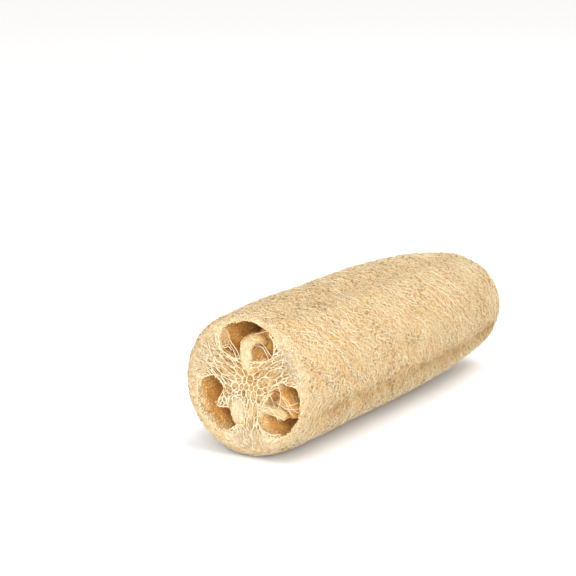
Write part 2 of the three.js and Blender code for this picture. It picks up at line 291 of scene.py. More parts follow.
class LoofahStageSettings(bpy.types.PropertyGroup):
    """Camera, floor and lights"""

    azimuth: angle_setting(
        "Azimuth", "Turn of the camera round the sponge, from straight in front of the cut face", 31.4
    )
    elevation: angle_setting("Elevation", "Height of the camera above the horizon", 12.7)
    lens: FloatProperty(
        name="Lens", description="Focal length in millimetres", default=125, subtype="DISTANCE_CAMERA"
    )
    face_depth: length_setting(
        "Face depth", "Distance from the camera to the cut face, along the view", 0.763
    )
    face_pixel: FloatVectorProperty(
        name="Face pixel",
        description="Pixel of the cut face's centre, from the image's upper left corner",
        default=(246.2, 385.2),
        size=2,
    )
    floor_colour: colour_setting("Floor", "Colour of the floor", (0.92, 0.935, 0.965))
    sky_colour: colour_setting("Sky", "Colour of the even light from all round", (1.0, 0.975, 0.93))
    sky_strength: FloatProperty(
        name="Sky strength", description="Strength of the even light from all round", default=1.0
    )
    key_power: power_setting("Key light", "Power of the large soft light above", 8.0)
    fill_power: power_setting("Fill light", "Power of the large soft light beside the camera", 10.5)


# Form of the body


def smooth(low, high, value):
    """Smooth step from 0 at low to 1 at high."""
    share = np.clip((np.asarray(value, float) - low) / (high - low), 0, 1)
    return share * share * (3 - 2 * share)


def circle(sides):
    """Points on a circle of radius 1."""
    turn = np.linspace(0, 2 * np.pi, sides, endpoint=False)
    return np.stack([np.cos(turn), np.sin(turn)], 1)


def ripple(points, size, seed):
    """Smooth noise from -1 to 1 at points, for a given size of its waves."""
    shift = Vector((seed * 3.1, seed * 1.7, seed * 5.3))
    flat = np.reshape(points, (-1, 3))
    return np.array([noise.noise(Vector(p) / size + shift) for p in flat]).reshape(np.shape(points)[:-1])


def behind_face(flat, distance):
    """Places in space from x and z off the axis and the distance behind the cut face."""
    depth = np.broadcast_to(FACE_Y + distance, flat.shape[:-1])
    return np.stack([flat[..., 0], depth, AXIS_HEIGHT + flat[..., 1]], -1)


def body_radius(body, distance):
    """Radius of the body at a distance behind the cut face, before furrows."""
    distance = np.asarray(distance, float)
    rim_loss = (BODY_RADIUS - body.rim_radius) * np.clip(1 - distance / body.rim_depth, 0, 1) ** 2.2
    along = np.clip(distance / LENGTH - body.taper_start, 0, 1) / (1 - body.taper_start)
    taper = BODY_RADIUS * body.taper_loss * along**2.6
    to_tip = np.clip((LENGTH - distance) / body.tip_depth, 0, 1)
    tip = (1 - (1 - to_tip) ** 2.5) ** (1 / 2.5)
    return (BODY_RADIUS - rim_loss - taper) * tip


def tip_drift(distance):
    """How far the middle of the chambers strays towards the tip, as x and z."""
    share = np.clip(np.asarray(distance, float) - DRIFT_START, 0, None) / (LENGTH - DRIFT_START)
    return np.multiply.outer(share**2, TIP_DRIFT)


def skin_drift(body, distance):
    """How far the middle of the skin strays, as x and z."""
    share = 1 - smooth(0, body.rim_depth, distance)
    return tip_drift(distance) + np.multiply.outer(share, RIM_DRIFT)


def furrow(body, degrees):
    """Depth of the furrows in one direction."""
    degrees = np.asarray(degrees, float)
    apart = [np.abs((degrees - at + 180) % 360 - 180) / FURROW_WIDTH for at in FURROWS]
    return body.furrow_depth * sum(np.exp(-(gap**2)) for gap in apart)


def away_from_ends(body, distance):
    """A share that fades out towards the rim and towards the tip."""
    return smooth(0, body.rim_depth, distance) * smooth(0, 2 * body.tip_depth, LENGTH - distance)


def body_profile(body):
    """Profile from the middle of the recessed core, over the rim and along the body to the tip.

    Distances behind the cut face and radii, in even steps of arc length, with the places of the
    rim's inner edge and crest as shares of the profile's length.
    """
    floor = body.recess
    edge = body.rim_radius - 3.4 * MM
    rim = [
        (floor, 0),
        (floor, 0.5 * edge),
        (floor, edge - 6.5 * MM),
        (0.75 * floor, edge - 4.0 * MM),
        (0.55 * floor, edge - 2.0 * MM),
        (0.75 * MM, edge - 0.5 * MM),
        (0.45 * MM, edge + 0.5 * MM),
        (0.3 * MM, edge + 1.3 * MM),
        (0.55 * MM, edge + 2.1 * MM),
        (1.2 * MM, edge + 2.7 * MM),
    ]
    inner_edge, crest = 4, 7
    step = 1.3 * MM
    steps = np.sin(np.linspace(0, np.pi / 2, 240))
    distances = 2 * MM + (LENGTH - 2 * MM) * steps
    outside = np.stack([distances, body_radius(body, distances) - body.felt_sink], 1)
    outside[:, 0] -= body.felt_sink * smooth(LENGTH - body.tip_depth, LENGTH, distances)
    outside[-1, 1] = 0
    points = np.concatenate([rim, outside])
    lengths = np.concatenate([[0], np.cumsum(np.hypot(*np.diff(points, axis=0).T))])
    even = np.linspace(0, lengths[-1], int(lengths[-1] / step))
    profile = np.stack([np.interp(even, lengths, points[:, axis]) for axis in (0, 1)], 1)
    return profile, lengths[[inner_edge, crest]] / lengths[-1], lengths[-1]


def skin_rows(body):
    """The felt of the body as rings from the middle of the core to the tip."""
    profile, rim_shares, length = body_profile(body)
    sides = 180
    degrees = np.arange(sides) * 360 / sides
    angle = np.radians(degrees)
    distance, radius = profile[:, :1], profile[:, 1:]
    slope = np.gradient(profile, axis=0)
    slope /= np.linalg.norm(slope, axis=1, keepdims=True)
    in_core = 1 - smooth(17.5 * MM, 22 * MM, radius)
    in_core[distance[:, 0] > 6 * MM] = 0
    drift = skin_drift(body, distance[:, 0])[:, None, :] * (1 - in_core)[..., None]
    rows = np.stack(
        [
            drift[..., 0] + radius * np.cos(angle),
            FACE_Y + distance + 0 * angle,
            AXIS_HEIGHT + drift[..., 1] + radius * np.sin(angle),
        ],
        -1,
    )
    waves = 0.5 * ripple(rows, 15 * MM, 1) + 0.3 * ripple(rows, 6 * MM, 2)
    across = rows * (1, 0, 1)
    pits = ripple(across, 4.2 * MM, 3) + 0.5 * ripple(across, 2.2 * MM, 5)
    on_skin = furrow(body, degrees)[None, :] * away_from_ends(body, distance) + (0.55 * waves + 0.35) * MM
    in_pit = (0.4 + 2.2 * pits) * MM
    sunk = on_skin * (1 - in_core) + np.maximum(in_pit, -1.0 * MM) * in_core
    sunk = np.where((radius < 1 * MM) & (in_core == 0), 0, sunk)
    normal = np.stack(
        [
            slope[:, :1] * np.cos(angle),
            -slope[:, 1:] + 0 * angle,
            slope[:, :1] * np.sin(angle),
        ],
        -1,
    )
    rows = rows - normal * sunk[..., None]
    rows[..., 2] = np.maximum(rows[..., 2], 0.35 * MM)
    return rows, rim_shares, length


def chamber_outline(chamber, sides, lobed=1.0, lobe_half_width=LOBE_HALF_WIDTH):
    """Outline of a chamber at the cut face, as x and z from the axis, with a share of its lobe."""
    inner, middle, square = 9.6 * MM, 16.5 * MM, 3
    turn = np.linspace(0, 2 * np.pi, sides, endpoint=False)
    cosine = np.cos(turn)
    across = chamber["half_width"] * cosine
    fullness = (1 - np.abs(cosine) ** square) ** (1 / square)
    roof = np.sqrt(CHAMBER_REACH**2 - across**2)
    lobe = lobed * chamber["lobe"] / (1 + ((across - chamber["lean"]) / lobe_half_width) ** 8)
    edge = np.where(turn < np.pi, roof, inner + lobe)
    out = middle + fullness * (edge - middle)
    angle = radians(chamber["direction"])
    sine, cosine = math.sin(angle), math.cos(angle)
    return np.stack([across * sine + out * cosine, -across * cosine + out * sine], -1)


def mouth_outline(number, sides):
    """Outline of a chamber's mouth in the net, with a lobe where that is part of the net."""
    lobed = 0 if number in SMOOTH_LOBES else NET_LOBE_SHARE
    return chamber_outline(CHAMBERS[number], sides, lobed, NET_LOBE_HALF_WIDTH)


def chamber_scale(body, distance):
    """How much wider a chamber is at a distance behind the cut face than at the face."""
    distance = np.clip(distance, 0, None)
    at_rim = body.rim_radius - CHAMBER_REACH
    wall = at_rim + (body.wall - at_rim) * smooth(0, body.rim_depth, distance)
    return (body_radius(body, distance) - wall) / CHAMBER_REACH


def chamber_rows(body, chamber, distances, sides):
    """The wall of a chamber as rings at distances behind the cut face.

    At the mouth the wall leans out, and the lobe rises behind it.
    """
    rows = []
    for distance in distances:
        outline = chamber_outline(chamber, sides, smooth(3.5 * MM, 13 * MM, distance))
        outer = smooth(18 * MM, 23 * MM, np.linalg.norm(outline, axis=1))[:, None]
        mouth = 1 + 0.035 * outer * math.exp(-max(distance, 0) / (3 * MM))
        ring = outline * mouth * chamber_scale(body, distance) + tip_drift(distance)
        rows.append(behind_face(ring, distance))
    rows = np.array(rows)
    away = rows - rows.mean(1, keepdims=True)
    away /= np.linalg.norm(away, axis=2, keepdims=True)
    return rows + away * (ripple(rows, 5 * MM, 4) * 0.5 * MM)[..., None]


def smooth_line(places, count):
    """A smooth line through places given in millimetres, in even steps of their number."""
    places = np.array(places) * MM
    places = np.concatenate([2 * places[:1] - places[1:2], places, 2 * places[-1:] - places[-2:-1]])
    at = np.linspace(1, len(places) - 2 - 1e-9, count)
    index, share = at.astype(int), (at % 1)[:, None]
    before, here, after, beyond = (places[index + step] for step in (-1, 0, 1, 2))
    return 0.5 * (
        2 * here
        + (after - before) * share
        + (2 * before - 5 * here + 4 * after - beyond) * share**2
        + (3 * here - before - 3 * after + beyond) * share**3
    )


def tongue_rows(left, right, thickness, seed):
    """A tongue of tissue as rings from its root to its tip, ovals between its two edges."""
    steps, sides = 36, 64
    left, right = smooth_line(left, steps), smooth_line(right, steps)
    middle, half = ((left + right) / 2)[:, None, :], ((right - left) / 2)[:, None, :]
    turn = np.linspace(0, 2 * np.pi, sides, endpoint=False)[None, :, None]
    along = np.linspace(0, 1, steps)[:, None, None]
    closing = np.sqrt(1 - 0.98 * along**5)
    flat = middle + half * closing * np.cos(turn)
    depth = flat[..., 2:] + thickness * (1 - closing * np.sin(turn))
    rows = behind_face(flat, depth[..., 0])
    rows[..., 1] += 0.35 * MM * ripple(rows, 3 * MM, seed)
    return rows


def pocket_rows(x, z, half_width, half_height, rim, bottom, seed):
    """A bowl of tissue as rings from the middle of its front over its rim to its back."""
    sides, wall = 48, 1.2
    inward = np.linspace(0.1, 1, 10)
    front = [(size, bottom - (bottom - rim) * size**3) for size in inward]
    back = [(size, bottom + wall - (bottom - rim) * size**3) for size in inward[::-1]]
    rows = []
    for size, behind in front + back:
        ring = (x, z) + np.multiply((half_width, half_height), size) * circle(sides)
        rows.append(behind_face(ring * MM, behind * MM))
    rows = np.array(rows)
    rows[..., 1] += 0.5 * MM * ripple(rows, 3 * MM, seed)
    return rows


# Meshes


def new_object(name, mesh):
    """An object with that mesh, linked to the scene."""
    piece = bpy.data.objects.new(name, mesh)
    bpy.context.scene.collection.objects.link(piece)
    return piece


def set_attribute(mesh, name, values):
    """Stores one number per vertex."""
    attribute = mesh.attributes.get(name) or mesh.attributes.new(name, "FLOAT", "POINT")
    attribute.data.foreach_set("value", np.asarray(values, np.float32).ravel())


def sheet_mesh(name, rows, closed_ends=False):
    """A mesh of rings, each row a closed ring of points, with a UV map: u round, v along.

    Point attributes tell the fibres the length round the ring and along the rows, in metres,
    how much painted shade darkens them, how far they lean and whether there is room for them.
    """
    rows = np.asarray(rows)
    count, sides = rows.shape[:2]
    faces, corners = [], []
    for row in range(count - 1):
        for side in range(sides):
            after = (side + 1) % sides
            here, there = row * sides, (row + 1) * sides
            faces.append((here + side, there + side, there + after, here + after))
            corners += [(side, row), (side, row + 1), (side + 1, row + 1), (side + 1, row)]
    if closed_ends:
        faces += [tuple(range(sides)), tuple(range((count - 1) * sides, count * sides))[::-1]]
        corners += [(side, 0) for side in range(sides)]
        corners += [(side, count - 1) for side in range(sides)[::-1]]
    mesh = bpy.data.meshes.new(name)
    mesh.from_pydata(rows.reshape(-1, 3).tolist(), [], faces)
    mesh.uv_layers.new(name="UVMap")
    uvs = np.array(corners, np.float32) / (sides, count - 1)
    mesh.uv_layers["UVMap"].uv.foreach_set("vector", uvs.ravel())
    rings = np.linalg.norm(np.roll(rows, -1, axis=1) - rows, axis=2).sum(1)
    along = np.linalg.norm(np.diff(rows, axis=0), axis=2).mean(1).sum()
    set_attribute(mesh, "around", np.repeat(np.maximum(rings, 8 * MM), sides))
    for key, value in (("along", along), ("shade", 0), ("lean", 0), ("room", 1)):
        set_attribute(mesh, key, np.full(count * sides, value))
    mesh.shade_smooth()
    return mesh


def vertex_array(mesh):
    """The mesh's vertices as an array."""
    flat = np.empty(len(mesh.vertices) * 3, np.float32)
    mesh.vertices.foreach_get("co", flat)
    return flat.reshape(-1, 3).astype(float)


def settle(name, source):
    """The evaluated shape of an object as a plain object; the source is removed."""
    bpy.context.view_layer.update()
    evaluated = source.evaluated_get(bpy.context.evaluated_depsgraph_get())
    mesh = bpy.data.meshes.new_from_object(evaluated)
    if not mesh.polygons:
        raise RuntimeError(f"{name} came out with no faces")
    mesh.name = name
    bpy.data.objects.remove(source)
    return new_object(name, mesh)


def seat(piece):
    """Makes a finished piece part of the sponge."""
    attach(piece, BODY)
    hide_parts(NODE)


# Node trees


class Sketch:
    """A node tree being drawn: adds nodes and joins their sockets."""

    def __init__(self, tree):
        self.tree = tree

    def add(self, kind, feeds=(), **settings):
        """A node with settings; feeds are values or sockets, by name or in order."""
        node = self.tree.nodes.new(kind)
        for name, value in settings.items():
            setattr(node, name, value)
        shown = [socket for socket in node.inputs if socket.enabled]
        pairs = feeds.items() if isinstance(feeds, dict) else enumerate(feeds)
        for key, value in pairs:
            if isinstance(key, str):
                socket = next(s for s in shown if s.name == key)
            else:
                socket = shown[key]
            self.feed(socket, value)
        return node

    def feed(self, socket, value):
        """Joins or sets one input."""
        if isinstance(value, bpy.types.NodeSocket):
            self.tree.links.new(value, socket)
        else:
            socket.default_value = value

    def out(self, kind, feeds=(), output=None, **settings):
        """The output of a new node: the first one that shows, or the named one."""
        node = self.add(kind, feeds, **settings)
        shown = [socket for socket in node.outputs if socket.enabled]
        return next(s for s in shown if output in (None, s.name))

    def math(self, operation, *values):
        """One step of arithmetic on numbers."""
        return self.out("ShaderNodeMath", values, operation=operation)

    def vector(self, operation, *values):
        """One step of arithmetic on vectors."""
        return self.out("ShaderNodeVectorMath", values, operation=operation)

    def scaled(self, vector, factor):
        """A vector times a number."""
        return self.out("ShaderNodeVectorMath", {"Vector": vector, "Scale": factor}, operation="SCALE")

    def parts(self, vector):
        """The parts of a vector, by the names X, Y and Z."""
        return self.add("ShaderNodeSeparateXYZ", [vector]).outputs

    def joined(self, *parts):
        """A vector from its three parts."""
        return self.out("ShaderNodeCombineXYZ", parts)

    def total(self, *values):
        """The sum of several numbers."""
        result = values[0]
        for value in values[1:]:
            result = self.math("ADD", result, value)
        return result

    def product(self, *values):
        """The product of several numbers."""
        result = values[0]
        for value in values[1:]:
            result = self.math("MULTIPLY", result, value)
        return result

    def signed(self, share):
        """A number from 0 to 1, spread from -1 to 1."""
        return self.math("MULTIPLY_ADD", share, 2, -1)

    def ranged(self, value, low, high, to_low, to_high):
        """A number moved from one range to another, held inside it."""
        feeds = {"Value": value, "From Min": low, "From Max": high, "To Min": to_low, "To Max": to_high}
        return self.out("ShaderNodeMapRange", feeds)

    def noise(self, place, scale, detail=1.0, output="Fac"):
        """Smooth noise at a place."""
        feeds = {"Vector": place, "Scale": scale, "Detail": detail}
        return self.out("ShaderNodeTexNoise", feeds, output=output)


class GeometrySketch(Sketch):
    """A Geometry Nodes tree with one mesh in and one mesh out."""

    def __init__(self, name):
        super().__init__(bpy.data.node_groups.new(name, "GeometryNodeTree"))
        interface = self.tree.interface
        interface.new_socket("Geometry", in_out="INPUT", socket_type="NodeSocketGeometry")
        interface.new_socket("Geometry", in_out="OUTPUT", socket_type="NodeSocketGeometry")
        self.given = self.tree.nodes.new("NodeGroupInput").outputs

    def values(self, *names, kind="Float"):
        """Named inputs of the tree."""
        for name in names:
            self.tree.interface.new_socket(name, in_out="INPUT", socket_type=f"NodeSocket{kind}")
        return [self.given[name] for name in names]

    def named(self, name, data_type="FLOAT"):
        """A named attribute of the points at hand."""
        return self.out("GeometryNodeInputNamedAttribute", {"Name": name}, data_type=data_type)

    def store(self, geometry, name, value, data_type="FLOAT"):
        """Geometry with a named attribute stored on its points."""
        feeds = {"Geometry": geometry, "Name": name, "Value": value}
        return self.out("GeometryNodeStoreNamedAttribute", feeds, data_type=data_type, domain="POINT")

    def compare(self, first, operation, second):
        """Whether two numbers stand in that order."""
        return self.out("FunctionNodeCompare", {"A": first, "B": second}, operation=operation)

    def draw(self, low, high, identity, seed, step):
        """A random number for each identity, from its own seed."""
        feeds = {"Min": low, "Max": high, "ID": identity, "Seed": self.math("ADD", seed, step)}
        return self.out("FunctionNodeRandomValue", feeds, data_type="FLOAT")

    def tubes(self, curves, sides, material):
        """Curves as tubes of their stored thickness that stay above the floor, and the tree's end."""
        profile = self.out("GeometryNodeCurvePrimitiveCircle", {"Resolution": sides, "Radius": 1.0})
        thickness = self.named("thickness")
        feeds = {"Curve": curves, "Profile Curve": profile, "Scale": thickness, "Fill Caps": True}
        mesh = self.out("GeometryNodeCurveToMesh", feeds)
        position = self.parts(self.out("GeometryNodeInputPosition"))
        placed = self.joined(position["X"], position["Y"], self.math("MAXIMUM", position["Z"], 0.0))
        mesh = self.out("GeometryNodeSetPosition", {"Geometry": mesh, "Position": placed})
        mesh = self.out("GeometryNodeSetShadeSmooth", {"Geometry": mesh})
        mesh = self.out("GeometryNodeRealizeInstances", {"Geometry": mesh})
        mesh = self.out("GeometryNodeSetMaterial", {"Geometry": mesh, "Material": material})
        self.add("NodeGroupOutput", [mesh])
        return self.tree


def apply_tree(piece, tree, values):
    """Puts a tree on an object and sets its inputs, whose names are the values' with spaces."""
    modifier = piece.modifiers.new(tree.name, "NODES")
    modifier.node_group = tree
    sockets = {item.name: item.identifier for item in tree.interface.items_tree if item.in_out == "INPUT"}
    for name, value in values.items():
        modifier[sockets[name.replace("_", " ").capitalize()]] = value


def fibre_tree(name, in_rows):
    """Fibres along a surface, by its UV map: each root grows into a swaying strand.

    The roots are either seeded at random, or set in rows round the body. The strands of
    neighbouring rows then part and meet again, so that they form a net.
    """
    sketch = GeometrySketch(name)
    surface = sketch.given["Geometry"]
    steps, seed = sketch.values("Steps", "Seed", kind="Int")
    (material,) = sketch.values("Material", kind="Material")
    length, slant, slant_spread, sway = sketch.values("Length", "Slant", "Slant spread", "Sway")
    bunching, bunch_size, radius = sketch.values("Bunching", "Bunch size", "Radius")
    lift, lift_spread, weave, end_dip = sketch.values("Lift", "Lift spread", "Weave", "End dip")
    tone, tone_spread, low_share, high_share = sketch.values("Tone", "Tone spread", "From share", "To share")
    map_uv = sketch.named("UVMap", "FLOAT_VECTOR")
    index = sketch.out("GeometryNodeInputIndex")
    position = sketch.out("GeometryNodeInputPosition")
    measures = [sketch.named(key) for key in ("around", "along", "shade", "lean")]

    def sampled(value, uv, data_type="FLOAT_VECTOR"):
        """A value of the surface at a place in its UV map."""
        feeds = {"Mesh": surface, "Value": value, "UV Map": map_uv, "Sample UV": uv}
        return sketch.out("GeometryNodeSampleUVSurface", feeds, data_type=data_type)

    if in_rows:
        rows, row_strands = sketch.values("Rows", "Strands in a row", kind="Int")
        wave, waves = sketch.values("Wave", "Waves round")
        roots = sketch.out("GeometryNodePoints", {"Count": sketch.product(rows, row_strands)})
        row = sketch.math("FLOOR", sketch.math("DIVIDE", sketch.math("ADD", index, 0.5), row_strands))
        start = sketch.total(index, sketch.draw(0, 0.8, index, seed, 8), sketch.product(row, 0.37))
        turn = sketch.math("FRACT", sketch.math("DIVIDE", start, row_strands))
        row_share = sketch.math("DIVIDE", sketch.math("ADD", row, 0.5), rows)
        span = sketch.math("SUBTRACT", high_share, low_share)
        root_uv = sketch.joined(turn, sketch.math("MULTIPLY_ADD", row_share, span, low_share), row)
        measures = [sampled(measure, root_uv, "FLOAT") for measure in measures]
    else:
        (spacing,) = sketch.values("Spacing")
        share = sketch.parts(map_uv)["Y"]
        wanted = sketch.compare(share, "GREATER_THAN", low_share)
        before = sketch.compare(share, "LESS_THAN", high_share)
        roomy = sketch.compare(sketch.named("room"), "GREATER_THAN", 0.5)
        for test in (before, roomy):
            wanted = sketch.out("FunctionNodeBooleanMath", [wanted, test], operation="AND")
        roots = sketch.out(
            "GeometryNodeDistributePointsOnFaces",
            {"Mesh": surface, "Selection": wanted, "Distance Min": spacing, "Density Max": 1e7, "Seed": seed},
            distribute_method="POISSON",
        )
        root_uv = map_uv
    roots = sketch.store(roots, "root", root_uv, "FLOAT_VECTOR")
    roots = sketch.store(roots, "measure", sketch.joined(*measures[:3]), "FLOAT_VECTOR")
    roots = sketch.store(roots, "turned", measures[3])
    roots = sketch.store(roots, "strand", index, "INT")
    copies = sketch.add("GeometryNodeDuplicateElements", {"Geometry": roots, "Amount": steps}, domain="POINT")
    strand = sketch.named("strand", "INT")
    measure = sketch.parts(sketch.named("measure", "FLOAT_VECTOR"))
    around, along, shade = measure["X"], measure["Y"], measure["Z"]
    root = sketch.named("root", "FLOAT_VECTOR")
    travel = sketch.math("DIVIDE", copies.outputs["Duplicate Index"], sketch.math("SUBTRACT", steps, 1))
    to_end = sketch.math("ABSOLUTE", sketch.signed(travel))

    # The strand's own straight line, with its slant and sway
    if in_rows:
        own_length = sketch.product(sketch.math("DIVIDE", around, row_strands), length)
        own_length = sketch.product(own_length, sketch.draw(0.8, 1.2, strand, seed, 1))
    else:
        own_length = sketch.product(length, sketch.draw(0.55, 1.45, strand, seed, 1))
    place = sketch.product(own_length, sketch.math("SUBTRACT", travel, 0.5))
    lean = sketch.product(sketch.signed(sketch.noise(root, 9.0)), slant_spread)
    stray = sketch.product(sketch.draw(-1, 1, strand, seed, 2), slant_spread)
    own_slant = sketch.total(slant, sketch.named("turned"), lean, stray)
    cosine, sine = sketch.math("COSINE", own_slant), sketch.math("SINE", own_slant)
    phase = sketch.math("MULTIPLY_ADD", travel, 7.5, sketch.draw(0, 6.28, strand, seed, 3))
    aside = sketch.product(sketch.math("SINE", phase), sway)
    round_by = sketch.math("SUBTRACT", sketch.product(place, cosine), sketch.product(aside, sine))
    along_by = sketch.math("ADD", sketch.product(place, sine), sketch.product(aside, cosine))

    def moved(uv, round_step, along_step):
        """A place in the UV map after steps in metres, wrapped round the ring."""
        across, down = sketch.math("DIVIDE", round_step, around), sketch.math("DIVIDE", along_step, along)
        parts = sketch.parts(sketch.vector("ADD", uv, sketch.joined(across, down, 0.0)))
        held = sketch.math("MINIMUM", sketch.math("MAXIMUM", parts["Y"], 0.001), 0.999)
        return sketch.joined(sketch.math("FRACT", parts["X"]), held, 0.0)

    # Neighbours are pulled into bunches, and rows into the meshes of a net
    first_uv = moved(root, round_by, along_by)
    first_place = sampled(position, first_uv)
    bunch = sketch.noise(first_place, sketch.math("DIVIDE", 1.0, bunch_size), output="Color")
    bunch = sketch.parts(sketch.vector("SUBTRACT", bunch, (0.5, 0.5, 0.5)))
    pull_round = sketch.product(bunch["X"], bunching)
    pull_along = sketch.product(bunch["Y"], bunching)
    if in_rows:
        patches = sketch.noise(first_place, 55.0, 2.0)
        shift = sketch.noise(first_place, 220.0, output="Color")
        beat = sketch.total(
            sketch.product(sketch.parts(first_uv)["X"], waves, 2 * math.pi),
            sketch.product(sketch.parts(root)["Z"], math.pi),
            sketch.product(sketch.parts(shift)["X"], 9.0),
        )
        opening = sketch.product(wave, sketch.ranged(patches, 0.35, 0.65, 0.5, 1.4))
        pull_along = sketch.math("ADD", pull_along, sketch.product(sketch.math("SINE", beat), opening))
    uv = moved(first_uv, pull_round, pull_along)

    # Height above the surface, tone and thickness
    outward = sampled(sketch.out("GeometryNodeInputNormal"), uv)
    own_lift = sketch.product(sketch.draw(-1, 1, strand, seed, 4), lift_spread)
    over_under = sketch.product(sketch.math("SINE", sketch.math("MULTIPLY_ADD", phase, 1.7, 1.0)), weave)
    dip = sketch.product(sketch.math("POWER", to_end, 3), end_dip)
    height = sketch.math("SUBTRACT", sketch.total(lift, own_lift, over_under), dip)
    final = sketch.vector("ADD", sampled(position, uv), sketch.scaled(outward, height))
    most = sketch.total(lift_spread, weave, 1e-6)
    relative = sketch.math("DIVIDE", sketch.total(own_lift, over_under), most)
    # Painted shade: the shade attribute darkens the tone, and strands that lie lower are darker
    own_tone = sketch.total(
        tone,
        shade,
        sketch.product(sketch.draw(-1, 1, strand, seed, 5), tone_spread),
        sketch.product(relative, tone_spread),
    )
    narrowing = sketch.math("MULTIPLY_ADD", sketch.math("POWER", to_end, 4), -0.6, 1.0)
    thickness = sketch.product(radius, sketch.draw(0.7, 1.3, strand, seed, 6), narrowing)
    points = sketch.store(copies.outputs["Geometry"], "tone", own_tone)
    points = sketch.store(points, "thickness", thickness)
    points = sketch.store(points, "travel", travel)
    points = sketch.out("GeometryNodeSetPosition", {"Geometry": points, "Position": final})
    feeds = {"Points": points, "Curve Group ID": strand, "Weight": sketch.named("travel")}
    return sketch.tubes(sketch.out("GeometryNodePointsToCurves", feeds), 3, material)


def net_tree():
    """The net of a triangulated sheet: a strand along each edge of its cells, swollen at the knots."""
    sketch = GeometrySketch("Net of cells")
    (steps,) = sketch.values("Steps", kind="Int")
    (material,) = sketch.values("Material", kind="Material")
    radius, sway, swelling = sketch.values("Radius", "Sway", "Knot swelling")
    tone, tone_spread, reach = sketch.values("Tone", "Tone spread", "Reach")
    position = sketch.out("GeometryNodeInputPosition")

    cells = sketch.out("GeometryNodeDualMesh", {"Mesh": sketch.given["Geometry"], "Keep Boundaries": True})
    from_axis = sketch.vector("SUBTRACT", position, (0, FACE_Y, AXIS_HEIGHT))
    apart = sketch.out("ShaderNodeVectorMath", [from_axis], operation="LENGTH", output="Value")
    within = sketch.compare(apart, "LESS_THAN", reach)
    curves = sketch.out("GeometryNodeMeshToCurve", {"Mesh": cells, "Selection": within})
    curves = sketch.out("GeometryNodeResampleCurve", {"Curve": curves, "Count": steps})
    travel = sketch.out("GeometryNodeSplineParameter", output="Factor")
    to_end = sketch.math("ABSOLUTE", sketch.signed(travel))
    free = sketch.math("SUBTRACT", 1.0, sketch.math("POWER", to_end, 2))
    wander = sketch.vector("SUBTRACT", sketch.noise(position, 420.0, output="Color"), (0.5, 0.5, 0.5))
    offset = sketch.scaled(wander, sketch.product(free, sway, 2.0))
    curves = sketch.out("GeometryNodeSetPosition", {"Geometry": curves, "Offset": offset})
    patch = sketch.noise(position, 260.0, 2.0)
    uneven = sketch.ranged(patch, 0.3, 0.7, 0.6, 1.4)
    own_tone = sketch.math("ADD", tone, sketch.product(sketch.signed(patch), tone_spread))
    knot = sketch.math("MULTIPLY_ADD", sketch.math("POWER", to_end, 3), swelling, 1.0)
    curves = sketch.store(curves, "thickness", sketch.product(radius, uneven, knot))
    curves = sketch.store(curves, "tone", own_tone)
    return sketch.tubes(curves, 5, material)


def lay_fibres(name, rows, values, material, **attributes):
    """Lays fibres on a sheet of rings and seats them as one piece."""
    guide = new_object("guide", sheet_mesh("guide", rows))
    for key, numbers in attributes.items():
        set_attribute(guide.data, key, numbers)
    in_rows = "rows" in values
    kind = "Net of strands in rows" if in_rows else "Fibres along a surface"
    tree = bpy.data.node_groups.get(kind) or fibre_tree(kind, in_rows)
    apply_tree(guide, tree, dict(values, material=material))
    seat(settle(name, guide))


# Materials


def fibre_tones_group():
    """Colour of dry fibre from its tone, with blotches over the body, streaks round it and dark pores of
    painted shade.
    """
    tree = bpy.data.node_groups.new("Fibre tones", "ShaderNodeTree")
    kinds = {
        "Float": ("Tone", "Blotches", "Pore shade", "Streaks"),
        "Vector": ("Position",),
        "Color": ("Pale", "Body", "Deep"),
    }
    for kind, names in kinds.items():
        for name in names:
            tree.interface.new_socket(name, in_out="INPUT", socket_type=f"NodeSocket{kind}")
    for name, kind in (("Colour", "Color"), ("Roughness", "Float"), ("Height", "Float")):
        tree.interface.new_socket(name, in_out="OUTPUT", socket_type=f"NodeSocket{kind}")
    sketch = Sketch(tree)
    given = sketch.add("NodeGroupInput").outputs
    position = given["Position"]
    fine = sketch.noise(position, 900.0, 2.0)
    blotch = sketch.product(sketch.signed(sketch.noise(position, 70.0, 3.0)), given["Blotches"])
    speck = sketch.math("MULTIPLY_ADD", fine, 0.3, -0.15)
    # Pores: dark spots painted into the colour, painted shade of small holes between the fibres
    spot = sketch.out("ShaderNodeTexVoronoi", {"Vector": position, "Scale": 480.0}, output="Distance")
    width = sketch.ranged(sketch.noise(position, 55.0, 2.0), 0.4, 0.62, 0.12, 0.4)
    pore = sketch.ranged(sketch.math("DIVIDE", spot, width), 0.5, 1.1, 1.0, 0.0)

    # The streaks are noise on the unrolled body
    parts = sketch.parts(position)
    across, up = parts["X"], sketch.math("SUBTRACT", parts["Z"], AXIS_HEIGHT)
    turn = sketch.product(sketch.math("ARCTAN2", up, across), 0.25 * BODY_RADIUS)
    reach = sketch.math("SQRT", sketch.math("ADD", sketch.product(across, across), sketch.product(up, up)))
    along = sketch.math("MULTIPLY_ADD", sketch.noise(position, 300.0), 4 * MM, parts["Y"])
    streak = sketch.noise(sketch.joined(turn, along, reach), 1500.0, 2.0)
    streak = sketch.product(sketch.signed(streak), given["Streaks"])

    mark = sketch.total(given["Tone"], blotch, speck, streak)
    level = sketch.math("SUBTRACT", mark, sketch.product(pore, given["Pore shade"]))
    colour = given["Deep"]
    for low, high, next_colour in ((0.0, 0.5, given["Body"]), (0.5, 1.0, given["Pale"])):
        feeds = {"Factor": sketch.ranged(level, low, high, 0.0, 1.0), "A": colour, "B": next_colour}
        colour = sketch.out("ShaderNodeMix", feeds, data_type="RGBA")
    roughness = sketch.ranged(fine, 0.2, 0.8, 0.7, 0.95)
    sketch.add("NodeGroupOutput", [colour, roughness, sketch.math("ADD", fine, streak)])
    return tree


